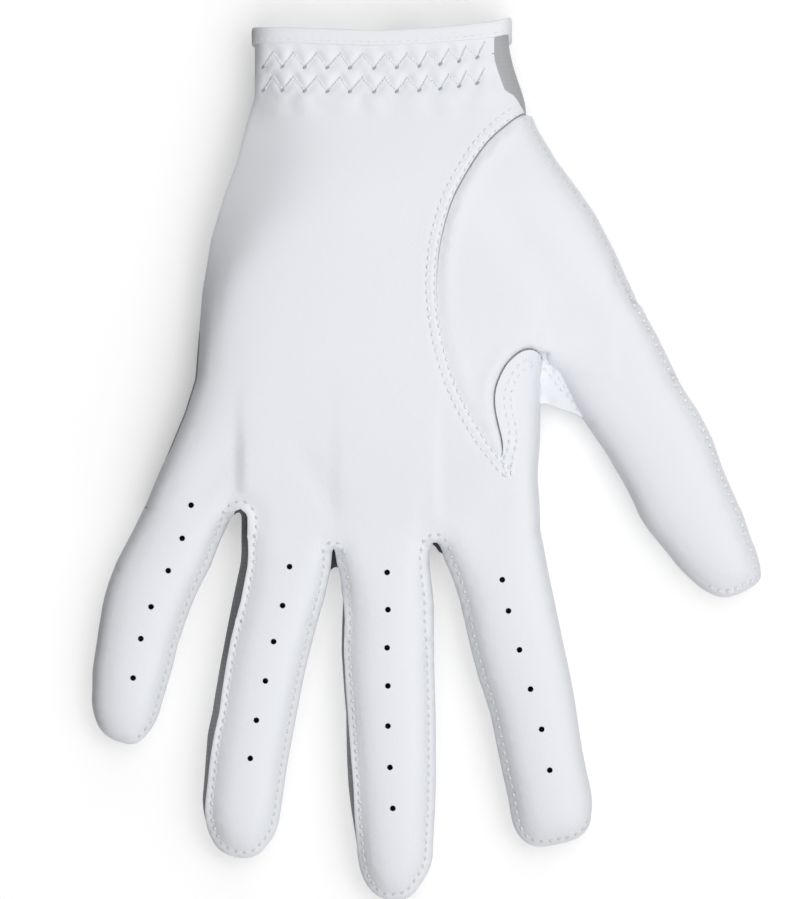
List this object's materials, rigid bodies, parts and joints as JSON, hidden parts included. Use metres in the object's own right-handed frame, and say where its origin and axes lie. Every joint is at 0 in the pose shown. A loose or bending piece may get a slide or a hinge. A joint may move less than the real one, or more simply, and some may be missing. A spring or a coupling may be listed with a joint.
{
  "type": "golf glove",
  "caption": "Left-hand golf glove lying palm up: leather palm, lapped thumb piece, grey mesh side walls, shirred cuff and a back closure tab; fingers and thumb bend.",
  "frame": {"origin": "under the middle of the palm, on the face of the back that the glove rests on", "axes": "+X towards the thumb side, +Y from the fingertips to the cuff, +Z out of the palm"},
  "size_m": [0.162, 0.2121, 0.0238],
  "materials": {
    "leather": "soft white cabretta, satin",
    "tab_leather": "coated white leather, semi-gloss",
    "stretch_mesh": "grey knitted stretch mesh",
    "tape": "white woven tape",
    "elastic": "white ribbed elastic",
    "hook_and_loop": "pale grey hook and loop pile"
  },
  "bodies": {
    "hand": {"palm_panel": "leather", "thumb_gore_front": "leather", "thumb_gore_back": "leather", "back_panel": "leather", "knuckle_mesh": "stretch_mesh", "knuckle_leather": "leather", "ulnar_leather": "leather", "ulnar_mesh": "stretch_mesh", "wrist_gusset": "stretch_mesh", "cuff_binding": "tape", "wrist_elastic": "elastic", "vent_tape": "tape", "size_label": "tape", "loop_patch": "hook_and_loop", "tab_anchor": "tab_leather", "fork_pinky_ring": "stretch_mesh", "fork_ring_middle": "stretch_mesh", "fork_middle_index": "stretch_mesh"},
    "tab": {"tab_strap": "tab_leather", "tab_lining": "tape", "hook_patch": "hook_and_loop"},
    "pinky_base": {"pinky_front_base": "leather", "pinky_back_base": "leather", "pinky_wall_base": "stretch_mesh"},
    "pinky_tip": {"pinky_front_tip": "leather", "pinky_back_tip": "leather", "pinky_wall_tip": "stretch_mesh"},
    "ring_base": {"ring_front_base": "leather", "ring_back_base": "leather", "ring_outer_wall_base": "stretch_mesh", "ring_inner_wall_base": "stretch_mesh"},
    "ring_tip": {"ring_front_tip": "leather", "ring_back_tip": "leather", "ring_outer_wall_tip": "stretch_mesh", "ring_inner_wall_tip": "stretch_mesh"},
    "middle_base": {"middle_front_base": "leather", "middle_back_base": "leather", "middle_outer_wall_base": "stretch_mesh", "middle_inner_wall_base": "stretch_mesh"},
    "middle_tip": {"middle_front_tip": "leather", "middle_back_tip": "leather", "middle_outer_wall_tip": "stretch_mesh", "middle_inner_wall_tip": "stretch_mesh"},
    "index_base": {"index_front_base": "leather", "index_back_base": "leather", "index_wall_base": "stretch_mesh"},
    "index_tip": {"index_front_tip": "leather", "index_back_tip": "leather", "index_wall_tip": "stretch_mesh"},
    "thumb_base": {"thumb_front_base": "leather", "thumb_back_base": "leather"},
    "thumb_tip": {"thumb_front_tip": "leather", "thumb_back_tip": "leather"}
  },
  "joints": [
    {"name": "pinky_knuckle", "type": "hinge", "parent": "hand", "child": "pinky_base", "pos_m": [-0.04389, -0.041, 0.01545], "axis": [-1, 0, 0], "range_deg": [0, 85]},
    {"name": "pinky_bend", "type": "hinge", "parent": "pinky_base", "child": "pinky_tip", "pos_m": [-0.05494, -0.06912, 0.01533], "axis": [-0.9677, 0.2521, 0], "range_deg": [0, 95]},
    {"name": "ring_knuckle", "type": "hinge", "parent": "hand", "child": "ring_base", "pos_m": [-0.01989, -0.048, 0.01552], "axis": [-1, 0, 0], "range_deg": [0, 85]},
    {"name": "ring_bend", "type": "hinge", "parent": "ring_base", "child": "ring_tip", "pos_m": [-0.02772, -0.08701, 0.01548], "axis": [-0.988, 0.1547, 0], "range_deg": [0, 95]},
    {"name": "middle_knuckle", "type": "hinge", "parent": "hand", "child": "middle_base", "pos_m": [0.00425, -0.05, 0.01574], "axis": [-1, 0, 0], "range_deg": [0, 85]},
    {"name": "middle_bend", "type": "hinge", "parent": "middle_base", "child": "middle_tip", "pos_m": [0.00532, -0.09349, 0.01558], "axis": [-0.9993, -0.0384, 0], "range_deg": [0, 95]},
    {"name": "index_knuckle", "type": "hinge", "parent": "hand", "child": "index_base", "pos_m": [0.02963, -0.0465, 0.0158], "axis": [-1, 0, 0], "range_deg": [0, 80]},
    {"name": "index_bend", "type": "hinge", "parent": "index_base", "child": "index_tip", "pos_m": [0.03792, -0.08486, 0.01557], "axis": [-0.9774, -0.2113, 0], "range_deg": [0, 90]},
    {"name": "thumb_knuckle", "type": "hinge", "parent": "hand", "child": "thumb_base", "pos_m": [0.054, 0.0025, 0.01614], "axis": [-0.8746, -0.4848, 0], "range_deg": [0, 50]},
    {"name": "thumb_bend", "type": "hinge", "parent": "thumb_base", "child": "thumb_tip", "pos_m": [0.07321, -0.02927, 0.01575], "axis": [-0.8746, -0.4848, 0], "range_deg": [0, 70]},
    {"name": "tab_peel", "type": "hinge", "parent": "hand", "child": "tab", "pos_m": [0.017, 0.0545, 0], "axis": [0, -1, 0], "range_deg": [0, 150]}
  ]
}
